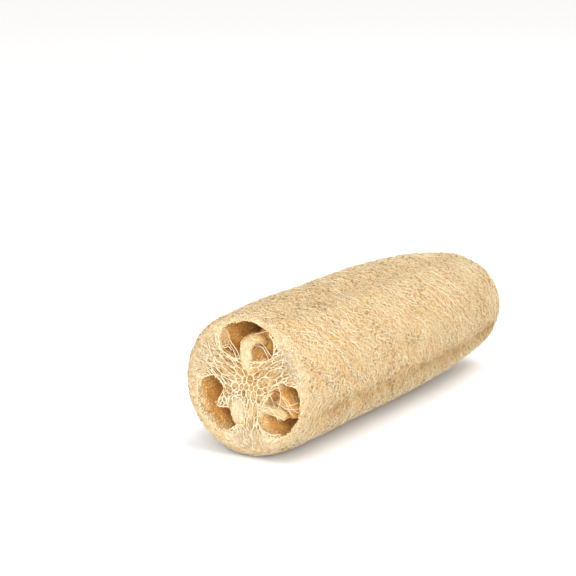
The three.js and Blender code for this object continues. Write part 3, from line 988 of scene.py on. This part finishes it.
def fibre_material(name, palette, blotches=0.1, pore_shade=0.0, streaks=0.0, grain=0.2):
    """Matte dry fibre, coloured by the tone of each point from a pale, a middle and a deep colour."""
    pale, body, deep = palette
    material = bpy.data.materials.new(name)
    material.use_nodes = True
    material.node_tree.nodes.clear()
    sketch = Sketch(material.node_tree)
    tones = bpy.data.node_groups.get("Fibre tones") or fibre_tones_group()
    group = sketch.add("ShaderNodeGroup", node_tree=tones)
    given = {
        "Tone": sketch.add("ShaderNodeAttribute", attribute_name="tone").outputs["Fac"],
        "Position": sketch.add("ShaderNodeTexCoord").outputs["Object"],
        "Pale": (*pale, 1),
        "Body": (*body, 1),
        "Deep": (*deep, 1),
        "Blotches": blotches,
        "Pore shade": pore_shade,
        "Streaks": streaks,
    }
    for key, value in given.items():
        sketch.feed(group.inputs[key], value)
    feeds = {"Strength": grain, "Distance": 0.3 * MM, "Height": group.outputs["Height"]}
    shader = sketch.add(
        "ShaderNodeBsdfPrincipled",
        {
            "Base Color": group.outputs["Colour"],
            "Roughness": group.outputs["Roughness"],
            "Normal": sketch.out("ShaderNodeBump", feeds),
            "Specular IOR Level": 0.25,
        },
    )
    sketch.add("ShaderNodeOutputMaterial", {"Surface": shader.outputs["BSDF"]})
    return material


# The net of the cut end


def inside_polygon(points, polygon):
    """Which points lie inside a closed outline."""
    after = np.roll(polygon, -1, axis=0)
    x, z = points[:, :1], points[:, 1:]
    crosses = (polygon[:, 1] > z) != (after[:, 1] > z)
    rise = np.where(after[:, 1] == polygon[:, 1], 1e-12, after[:, 1] - polygon[:, 1])
    reach = polygon[:, 0] + (z - polygon[:, 1]) * (after[:, 0] - polygon[:, 0]) / rise
    return (crosses & (x < reach)).sum(1) % 2 == 1


def squeezed(places):
    """Places with the arms of the core pressed together, so that cells drawn there come out long."""
    result = places.copy()
    for direction in ARMS:
        angle = radians(direction)
        arm = np.array([math.cos(angle), math.sin(angle)])
        along = places @ arm
        reach = np.linalg.norm(places, axis=1)
        in_arm = smooth(0.5, 0.85, along / np.maximum(reach, 1e-9))
        result -= np.outer(0.6 * np.clip(along - 4.5 * MM, 0, None) * in_arm, arm)
    return result


def net_places(random, holes, spacing):
    """Seeded places for the cells of the core: close in the middle, longer along the arms."""
    candidates = random.uniform(-NET_REACH, NET_REACH, (7000, 2))
    free = np.linalg.norm(candidates, axis=1) < NET_REACH - 0.5 * spacing
    for hole in holes:
        free &= ~inside_polygon(candidates, hole)
    candidates = candidates[free]
    pressed = squeezed(candidates)
    kept = []
    for number, place in enumerate(pressed):
        if not kept or np.min(np.linalg.norm(pressed[kept] - place, axis=1)) > spacing:
            kept.append(number)
    return candidates[kept]


def net_holes(random, depth, pocketed):
    """Outlines that one layer of the net leaves free: the chambers, the lump and some pockets."""
    holes = []
    for number in range(len(CHAMBERS)):
        hole = mouth_outline(number, 40)
        away = hole - hole.mean(0)
        away /= np.linalg.norm(away, axis=1, keepdims=True)
        uneven = ripple(np.column_stack([hole, np.full(len(hole), depth)]), 4 * MM, 30 + number)
        holes.append(hole + away * (1.4 * MM * uneven)[:, None] + random.normal(0, 0.15 * MM, hole.shape))
    left, right = (smooth_line(edge, 9)[:, :2] for edge in TONGUES["seed_lump"])
    holes.append(np.concatenate([left[1:-1], right[-2:0:-1]]))
    if pocketed:
        for key in NET_HOLES:
            x, z, half_width, half_height, *_ = POCKETS[key]
            holes.append(np.array((x, z)) * MM + circle(14) * np.array((half_width, half_height)) * MM)
    return holes


def net_sheet(name, random, spacing, depth, unevenness, seed, pocketed):
    """A triangulated sheet over the core between the chambers, for one layer of the net."""
    holes = net_holes(random, depth, pocketed)
    rim = circle(72) * NET_REACH
    points, edges = [], []
    for outline in [*holes, rim]:
        first = len(points)
        points += outline.tolist()
        edges += [(first + step, first + (step + 1) % len(outline)) for step in range(len(outline))]
    points = np.array([*points, *net_places(random, holes, spacing)])
    pressed = squeezed(points)
    corners, _, faces, origins, *_ = delaunay_2d_cdt([Vector(p) for p in pressed], edges, [], 0, 1e-7)
    flat = np.array([
        points[origin[0] if origin else np.argmin(np.linalg.norm(pressed - np.array(corner), axis=1))]
        for corner, origin in zip(corners, origins)
    ])
    corners = np.array([tuple(corner) for corner in corners])
    middles = np.array([corners[face].mean(0) for face in faces])
    inside = inside_polygon(middles, squeezed(rim))
    for hole in holes:
        inside &= ~inside_polygon(middles, squeezed(hole))
    kept = [face for face, wanted in zip(faces, inside) if wanted]
    used = sorted({corner for face in kept for corner in face})
    renumber = {corner: index for index, corner in enumerate(used)}
    flat = flat[used]
    places = behind_face(flat, depth)
    places[:, 1] += unevenness * ripple(places, 7 * MM, seed)
    places[:, 1] += 1.6 * MM * smooth(NET_REACH - 4.5 * MM, NET_REACH, np.linalg.norm(flat, axis=1))
    mesh = bpy.data.meshes.new(name)
    mesh.from_pydata(places.tolist(), [], [[renumber[c] for c in face] for face in kept])
    return new_object(name, mesh)


# Operators


class LOOFAH_OT_felt(bpy.types.Operator):
    """Builds the felt of the body with its chambers"""

    bl_idname = "loofah.felt"
    bl_label = "Felt body"

    def execute(self, context):
        body, colours = context.scene.loofah_body, context.scene.loofah_colours
        rows, _, _ = skin_rows(body)
        felt = new_object("felt_skin", sheet_mesh("felt_skin", rows[1:-1], closed_ends=True))
        # The hollows start in front of the cut face and end short of the tip
        depths = (LENGTH - 23 * MM) * np.linspace(0, 1, 90) ** 2 - 1 * MM
        cutters = []
        for chamber in CHAMBERS:
            walls = chamber_rows(body, chamber, depths, CHAMBER_SIDES)
            hollow = sheet_mesh("chamber_hollow", walls, closed_ends=True)
            cutters.append(new_object("chamber_hollow", hollow))
            cut = felt.modifiers.new("Chamber", "BOOLEAN")
            cut.operation, cut.solver, cut.object = "DIFFERENCE", "MANIFOLD", cutters[-1]
        felt = settle("felt_body", felt)
        for cutter in cutters:
            bpy.data.objects.remove(cutter)
        tones, kinds = self.tones_and_kinds(body, vertex_array(felt.data))
        set_attribute(felt.data, "tone", tones)
        looks = (
            fibre_material("Skin felt", colours.palette("skin"), blotches=0.15, streaks=0.7, grain=0.8),
            fibre_material("Core felt", colours.palette("core"), **TISSUE_LOOK),
            fibre_material("Chamber felt", colours.palette("chamber wall"), **TISSUE_LOOK),
        )
        felt.data.materials.clear()
        for look in looks:
            felt.data.materials.append(look)
        kinds = [np.median(kinds[list(face.vertices)]) for face in felt.data.polygons]
        felt.data.polygons.foreach_set("material_index", np.array(kinds, np.int32))
        felt.data.shade_smooth()
        seat(felt)
        return {"FINISHED"}

    @staticmethod
    def tones_and_kinds(body, places):
        """The tone of each vertex, with painted shade in the skin's gaps and in the chambers, and whether it
        is skin (0), core (1) or chamber wall (2).
        """
        behind = places[:, 1] - FACE_Y
        flat = places[:, ::2] - (0, AXIS_HEIGHT)
        reach = np.linalg.norm(flat - tip_drift(behind), axis=1)
        wall, tip, core_depth, shade_depth = 3.6 * MM, 18 * MM, 4 * MM, 40 * MM
        outside = (reach > body_radius(body, behind) - wall) | (behind > LENGTH - tip)
        kinds = np.where(outside, 0, np.where(behind < core_depth, 1, 2))
        # The skin's felt is dark, painted shade of the gaps under its fibres, except just behind the cut face
        skin = 0.2 + 0.16 * (1 - smooth(1.5 * MM, 4 * MM, behind))
        core = 0.45 + 0.4 * smooth(16 * MM, 21 * MM, reach)
        # Painted shade: the chamber wall grows darker further in
        hollow = 1 - 0.5 * smooth(1 * MM, 9 * MM, behind)
        # Further in, painted shade darkens the wall more: on the axis's side where the lobe is smooth, else
        # on the outer side
        for number, chamber in enumerate(CHAMBERS):
            part = 0.92 if number in SMOOTH_LOBES else 1.12
            outline = part * chamber_outline(chamber, CHAMBER_SIDES, 0)
            shaded = inside_polygon(flat, outline) & (behind < shade_depth)
            hollow[shaded] -= 0.1 * smooth(3 * MM, 9 * MM, behind[shaded])
        return np.choose(kinds, [skin, core, hollow]), kinds


class LOOFAH_OT_skin_fibres(bpy.types.Operator):
    """Lays the fibres of the skin, layer over layer"""

    bl_idname = "loofah.skin_fibres"
    bl_label = "Skin fibres"

    def execute(self, context):
        scene = context.scene
        body, fibres, colours = scene.loofah_body, scene.loofah_fibres, scene.loofah_colours
        rows, (rim_inside, rim_share), length = skin_rows(body)
        rows = rows[1:-1]
        material = fibre_material("Skin fibre", colours.palette("skin"), pore_shade=1.0)
        round_body = 2 * math.pi * BODY_RADIUS
        half = 0.5 * (1 + rim_share)
        loose = dict(LOOSE, from_share=rim_share)
        net = dict(
            steps=22,
            length=1.1,
            slant=0.0,
            slant_spread=radians(14),
            sway=0.1 * MM,
            bunching=1.8 * MM,
            bunch_size=2.8 * MM,
            radius=fibres.radius,
            lift=0.3 * MM,
            lift_spread=0.12 * MM,
            weave=0.12 * MM,
            end_dip=0.5 * MM,
            tone=0.66,
            tone_spread=0.12,
            rows=round((half - rim_share) * length / fibres.row),
            strands_in_a_row=round(round_body / fibres.length),
            wave=0.75 * fibres.row,
            waves_round=float(round(round_body / (3.0 * MM))),
        )
        # Lower layers have lower tones, painted shade of the layers above them; the under layer is darkest
        layers = {
            "skin_fibres_under": dict(
                loose,
                spacing=3.6 * MM,
                length=5.0 * MM,
                slant=radians(60),
                slant_spread=radians(24),
                radius=1.1 * fibres.radius,
                lift=0.0,
                lift_spread=0.1 * MM,
                tone=0.16,
                seed=fibres.seed,
            ),
            "rim_fibres": dict(
                loose,
                spacing=0.9 * MM,
                slant_spread=radians(40),
                radius=0.7 * fibres.radius,
                lift=0.15 * MM,
                tone=0.5,
                tone_spread=0.2,
                from_share=rim_inside,
                to_share=rim_share + 4 * MM / length,
                seed=fibres.seed + 50,
            ),
            "skin_net_front": dict(net, from_share=rim_share, to_share=half, seed=fibres.seed + 100),
            "skin_net_back": dict(net, from_share=half, to_share=0.998, seed=fibres.seed + 200),
            "skin_fibres_over": dict(
                loose,
                spacing=2.1 * MM,
                slant_spread=radians(58),
                radius=0.65 * fibres.radius,
                lift=0.42 * MM,
                tone=0.85,
                seed=fibres.seed + 300,
            ),
            "stray_fibres": dict(
                loose,
                length=4.5 * MM,
                spacing=5.4 * MM,
                slant_spread=radians(60),
                radius=0.4 * fibres.radius,
                lift=0.5 * MM,
                end_dip=-0.9 * MM,
                tone=0.85,
                seed=fibres.seed + 400,
            ),
        }
        degrees = np.degrees(np.arctan2(rows[..., 2] - AXIS_HEIGHT, rows[..., 0]))
        behind = rows[..., 1] - FACE_Y
        fade = away_from_ends(body, behind)
        # The furrows are darkened with painted shade, the one on the right the most
        shade = np.where(np.abs(degrees) < 45, -0.5, -0.14)
        shade = shade * np.clip(furrow(body, degrees) / body.furrow_depth, 0, 1) * fade
        aside = np.cos(np.radians(degrees))
        lean = -fibres.lean * np.sign(aside) * smooth(0.45, 0.8, np.abs(aside)) * fade
        places = np.stack([rows[..., 0], rows[..., 2] - AXIS_HEIGHT], -1).reshape(-1, 2)
        room = np.ones(len(places))
        for chamber in CHAMBERS:
            mouth = 1.06 * chamber_outline(chamber, 120, 0)
            room[inside_polygon(places, mouth) & (behind.ravel() < 6 * MM)] = 0
        for name, values in layers.items():
            lay_fibres(name, rows, values, material, shade=shade, lean=lean, room=room)
        return {"FINISHED"}


class LOOFAH_OT_core_net(bpy.types.Operator):
    """Draws the net of the cut end, layer behind layer, and the threads over it"""

    bl_idname = "loofah.core_net"
    bl_label = "Core net"

    def execute(self, context):
        fibres, colours = context.scene.loofah_fibres, context.scene.loofah_colours
        material = fibre_material("Net strand", colours.palette("core"))
        tree = net_tree()
        # Spacing of the cells, distance behind the face, unevenness, radius and tone of the strands; the tone
        # falls with the distance behind the face: painted shade
        layers = {
            "core_net_front": (1.9 * MM, 0.5 * MM, 0.5 * MM, 0.21 * MM, 0.84),
            "core_net_second": (2.0 * MM, 1.2 * MM, 0.6 * MM, 0.22 * MM, 0.56),
            "core_net_third": (2.2 * MM, 2.2 * MM, 0.7 * MM, 0.26 * MM, 0.4),
        }
        for number, (name, (spacing, depth, unevenness, radius, tone)) in enumerate(layers.items()):
            random = np.random.default_rng(fibres.seed + number)
            sheet = net_sheet(name, random, spacing, depth, unevenness, number + 1, pocketed=number < 2)
            values = dict(
                radius=radius,
                sway=0.5 * MM,
                knot_swelling=0.7,
                tone=tone,
                tone_spread=0.3,
                steps=5,
                reach=23 * MM,
                material=material,
            )
            apply_tree(sheet, tree, values)
            seat(settle(name, sheet))

        flat = np.array([circle(180) * reach for reach in np.linspace(0.5 * MM, 26 * MM, 60)])
        rows = behind_face(flat, 0.6 * MM)
        places = flat.reshape(-1, 2)
        room = np.ones(len(places))
        for number in range(len(CHAMBERS)):
            outline = mouth_outline(number, 120)
            apart = np.linalg.norm(places[:, None] - outline[None], axis=2).min(1)
            room[inside_polygon(places, outline) | (apart < 2.2 * MM)] = 0
        threads = dict(
            LOOSE,
            steps=8,
            length=6.5 * MM,
            spacing=1.9 * MM,
            slant=radians(90),
            slant_spread=radians(22),
            sway=0.35 * MM,
            radius=0.17 * MM,
            lift_spread=0.4 * MM,
            weave=0.3 * MM,
            tone=0.78,
            tone_spread=0.3,
            from_share=0.25,
            to_share=0.9,
            seed=fibres.seed + 500,
        )
        rim_threads = dict(
            threads,
            length=5 * MM,
            spacing=1.6 * MM,
            slant=radians(60),
            slant_spread=radians(50),
            sway=0.6 * MM,
            radius=0.18 * MM,
            lift_spread=0.2 * MM,
            tone=0.88,
            from_share=0.7,
            to_share=0.98,
            seed=fibres.seed + 520,
        )
        lay_fibres("face_threads", rows, threads, material, room=room)
        lay_fibres("rim_threads", rows, rim_threads, material, room=room)
        return {"FINISHED"}


class LOOFAH_OT_chamber_fibres(bpy.types.Operator):
    """Lines the chambers with fibres"""

    bl_idname = "loofah.chamber_fibres"
    bl_label = "Chamber fibres"

    def execute(self, context):
        scene = context.scene
        body, fibres, colours = scene.loofah_body, scene.loofah_fibres, scene.loofah_colours
        material = fibre_material("Chamber fibre", colours.palette("chamber fibre"), blotches=0.12)
        for number, chamber in enumerate(CHAMBERS):
            rows = chamber_rows(body, chamber, np.linspace(0.6 * MM, 38 * MM, 36), 110)[:, ::-1]
            behind = rows[..., 1].ravel() - FACE_Y
            # Painted shade: fibres further into the chamber are darker
            shade = -0.4 * smooth(0, 12 * MM, behind)
            values = dict(
                LOOSE,
                length=4 * MM,
                spacing=1.7 * MM,
                slant=radians(90),
                slant_spread=radians(14),
                bunching=0.8 * MM,
                radius=0.18 * MM,
                lift=0.2 * MM,
                lift_spread=0.2 * MM,
                tone=0.4,
                tone_spread=0.25,
                seed=fibres.seed + 600 + number,
            )
            lay_fibres(f"chamber_fibres_{number + 1}", rows, values, material, shade=shade)
            # The top chamber has no fibres of its own at the mouth
            if number == 0:
                continue
            mouth = dict(
                values,
                spacing=0.85 * MM,
                length=2.6 * MM,
                slant=radians(65),
                radius=0.2 * MM,
                tone=1.0,
                seed=fibres.seed + 620 + number,
            )
            room = np.random.default_rng(fibres.seed + number).random(len(behind)) > behind / (14 * MM)
            lay_fibres(f"mouth_fibres_{number + 1}", rows, mouth, material, shade=shade, room=room)
        return {"FINISHED"}


class LOOFAH_OT_lobes(bpy.types.Operator):
    """Builds the tongues, the netted pockets and the strands that bridge the chambers"""

    bl_idname = "loofah.lobes"
    bl_label = "Lobes and bridges"

    def execute(self, context):
        fibres, colours = context.scene.loofah_fibres, context.scene.loofah_colours
        tissue = fibre_material("Lobe tissue", colours.palette("lobe"), **TISSUE_LOOK)
        strand = fibre_material("Lobe fibre", colours.palette("lobe"))
        pit_shade = fibre_material("Pocket tissue", colours.palette("pocket"), **TISSUE_LOOK)
        seed = fibres.seed + 700
        for number, (name, (left, right)) in enumerate(TONGUES.items()):
            rows = tongue_rows(left, right, 2.0 * MM, 11 + number)
            # Painted shade: the tongues and their fibres darken further behind the cut face
            shade = -0.6 * smooth(1.4 * MM, 4.5 * MM, rows[..., 1].ravel() - FACE_Y)
            netted = name in NETTED_TONGUES
            self.add_tissue(name, rows, (0.42 if netted else 0.74) + shade, tissue)
            values = dict(
                LOOSE,
                length=4.5 * MM,
                spacing=(1.8 if netted else 0.8) * MM,
                slant=radians(90),
                slant_spread=radians(28),
                bunching=0.8 * MM,
                radius=0.15 * MM,
                lift=0.12 * MM,
                tone=0.88,
                tone_spread=0.26,
                seed=seed + number,
            )
            lay_fibres(f"{name}_fibres", rows, values, strand, shade=shade)
        rings = []
        for number, (name, (*form, tone)) in enumerate(POCKETS.items()):
            rows = pocket_rows(*form, 21 + number)
            self.add_tissue(name, rows, np.full(rows.shape[:2], tone), pit_shade)
            values = dict(
                LOOSE,
                length=3.0 * MM,
                spacing=1.5 * MM,
                slant=radians(45),
                slant_spread=radians(50),
                radius=0.15 * MM,
                lift=0.15 * MM,
                tone=tone + 0.2,
                tone_spread=0.35,
                to_share=0.5,
                seed=seed + 20 + number,
            )
            lay_fibres(f"{name}_fibres", rows, values, pit_shade)
            if name in RIMMED_POCKETS:
                rings += self.rim_lines(*form[:5], np.random.default_rng(seed + number))
        self.add_strands("pocket_rims", rings, 0.17 * MM, strand)
        self.add_strands("chamber_bridges", BRIDGES, 0.16 * MM, strand)
        return {"FINISHED"}

    @staticmethod
    def rim_lines(x, z, half_width, half_height, rim, random):
        """Loose lines round the rim of a pocket, in millimetres."""
        lines = []
        for start in random.uniform(0, 2 * np.pi, RIM_STRANDS):
            turn = start + np.linspace(0, random.uniform(1.6, 3.2), 6)
            width = random.uniform(0.85, 1.1)
            line = np.stack([half_width * np.cos(turn), half_height * np.sin(turn), np.full(6, rim)], 1)
            line = line * (width, width, 1) + (x, z, 0)
            lines.append(line + random.normal(0, 0.3, line.shape))
        return lines

    @staticmethod
    def add_tissue(name, rows, tone, material):
        """A closed piece of smooth tissue."""
        piece = new_object(name, sheet_mesh(name, rows, closed_ends=True))
        set_attribute(piece.data, "tone", tone)
        piece.data.materials.append(material)
        seat(piece)

    @staticmethod
    def add_strands(name, lines, radius, material):
        """Strands along lines given in millimetres."""
        curve = bpy.data.curves.new(name, "CURVE")
        curve.dimensions = "3D"
        curve.bevel_depth, curve.bevel_resolution, curve.resolution_u = radius, 1, 8
        curve.use_fill_caps = True
        for places in lines:
            line = curve.splines.new("BEZIER")
            line.bezier_points.add(len(places) - 1)
            for point, (x, z, behind) in zip(line.bezier_points, places):
                point.co = Vector((x * MM, FACE_Y + behind * MM, AXIS_HEIGHT + z * MM))
                point.handle_left_type = point.handle_right_type = "AUTO"
            line.bezier_points[0].radius = line.bezier_points[-1].radius = 0.6
        piece = settle(name, new_object(name, curve))
        set_attribute(piece.data, "tone", np.full(len(piece.data.vertices), STRAND_TONE))
        piece.data.materials.clear()
        piece.data.materials.append(material)
        piece.data.shade_smooth()
        seat(piece)


class LOOFAH_OT_stage(bpy.types.Operator):
    """Sets the floor, the lights and the camera"""

    bl_idname = "loofah.stage"
    bl_label = "Stage"

    def execute(self, context):
        scene, stage = context.scene, context.scene.loofah_stage
        scene.view_settings.view_transform = "Standard"
        floor_mesh = bpy.data.meshes.new("floor")
        side = 6.0
        corners = [(-side, -side, 0), (side, -side, 0), (side, side, 0), (-side, side, 0)]
        floor_mesh.from_pydata(corners, [], [(0, 1, 2, 3)])
        floor = new_object("floor", floor_mesh)
        paint = bpy.data.materials.new("Floor")
        paint.use_nodes = True
        shader = paint.node_tree.nodes["Principled BSDF"]
        shader.inputs["Base Color"].default_value = (*stage.floor_colour, 1)
        shader.inputs["Roughness"].default_value = 0.9
        shader.inputs["Specular IOR Level"].default_value = 0.1
        floor_mesh.materials.append(paint)

        world = bpy.data.worlds.new("Sky")
        world.use_nodes = True
        sky = world.node_tree.nodes["Background"]
        sky.inputs["Color"].default_value = (*stage.sky_colour, 1)
        sky.inputs["Strength"].default_value = stage.sky_strength
        scene.world = world
        self.add_light("key", place=(0.35, 0.15, 1.15), size=0.8, power=stage.key_power)
        self.add_light("fill", place=(0.66, -0.98, 0.34), size=0.6, power=stage.fill_power)

        camera = bpy.data.cameras.new("camera")
        camera.lens, camera.sensor_width = stage.lens, SENSOR
        camera.clip_start, camera.clip_end = 0.01, 50
        holder = new_object("camera", camera)
        turn, rise = stage.azimuth, stage.elevation
        right = Vector((math.cos(turn), math.sin(turn), 0))
        ahead = Vector((-math.sin(turn) * math.cos(rise), math.cos(turn) * math.cos(rise), -math.sin(rise)))
        up = right.cross(ahead)
        pixels = stage.lens / SENSOR * IMAGE_SIDE
        aside = (stage.face_pixel[0] - IMAGE_SIDE / 2) / pixels * stage.face_depth
        below = (stage.face_pixel[1] - IMAGE_SIDE / 2) / pixels * stage.face_depth
        face = Vector((0, FACE_Y, AXIS_HEIGHT))
        place = face - right * aside + up * below - ahead * stage.face_depth
        axes = Matrix((right, up, -ahead)).transposed().to_4x4()
        holder.matrix_world = Matrix.Translation(place) @ axes
        scene.camera = holder
        return {"FINISHED"}

    @staticmethod
    def add_light(name, place, size, power):
        """A square area light that looks at the sponge."""
        light = bpy.data.lights.new(name, "AREA")
        light.size, light.energy = size, power
        holder = new_object(name, light)
        holder.location = place
        ahead = Vector((0, 0, AXIS_HEIGHT)) - Vector(place)
        holder.rotation_euler = ahead.to_track_quat("-Z", "Y").to_euler()


class LOOFAH_PT_panel(bpy.types.Panel):
    """Lists the steps that build the sponge"""

    bl_idname = "LOOFAH_PT_panel"
    bl_label = "Loofah sponge"
    bl_space_type = "VIEW_3D"
    bl_region_type = "UI"
    bl_category = "Loofah"

    def draw(self, context):
        for operator in OPERATORS:
            self.layout.operator(operator.bl_idname)
        for group in SETTINGS:
            settings = getattr(context.scene, group)
            for name in settings.__annotations__:
                self.layout.prop(settings, name)


SETTINGS = {
    "loofah_body": LoofahBodySettings,
    "loofah_fibres": LoofahFibreSettings,
    "loofah_colours": LoofahColourSettings,
    "loofah_stage": LoofahStageSettings,
}
OPERATORS = (
    LOOFAH_OT_felt,
    LOOFAH_OT_skin_fibres,
    LOOFAH_OT_core_net,
    LOOFAH_OT_chamber_fibres,
    LOOFAH_OT_lobes,
    LOOFAH_OT_stage,
)


def register():
    """Registers the settings, the operators and the panel."""
    for name, settings in SETTINGS.items():
        bpy.utils.register_class(settings)
        setattr(bpy.types.Scene, name, PointerProperty(type=settings))
    for operator in OPERATORS:
        bpy.utils.register_class(operator)
    bpy.utils.register_class(LOOFAH_PT_panel)


def unregister():
    """Takes away what register added."""
    bpy.utils.unregister_class(LOOFAH_PT_panel)
    for operator in reversed(OPERATORS):
        bpy.utils.unregister_class(operator)
    for name, settings in reversed(SETTINGS.items()):
        delattr(bpy.types.Scene, name)
        bpy.utils.unregister_class(settings)


def main():
    """Builds the sponge and its stage."""
    register()
    bpy.ops.loofah.felt()
    bpy.ops.loofah.skin_fibres()
    bpy.ops.loofah.core_net()
    bpy.ops.loofah.chamber_fibres()
    bpy.ops.loofah.lobes()
    bpy.ops.loofah.stage()


if __name__ == "__main__":
    main()
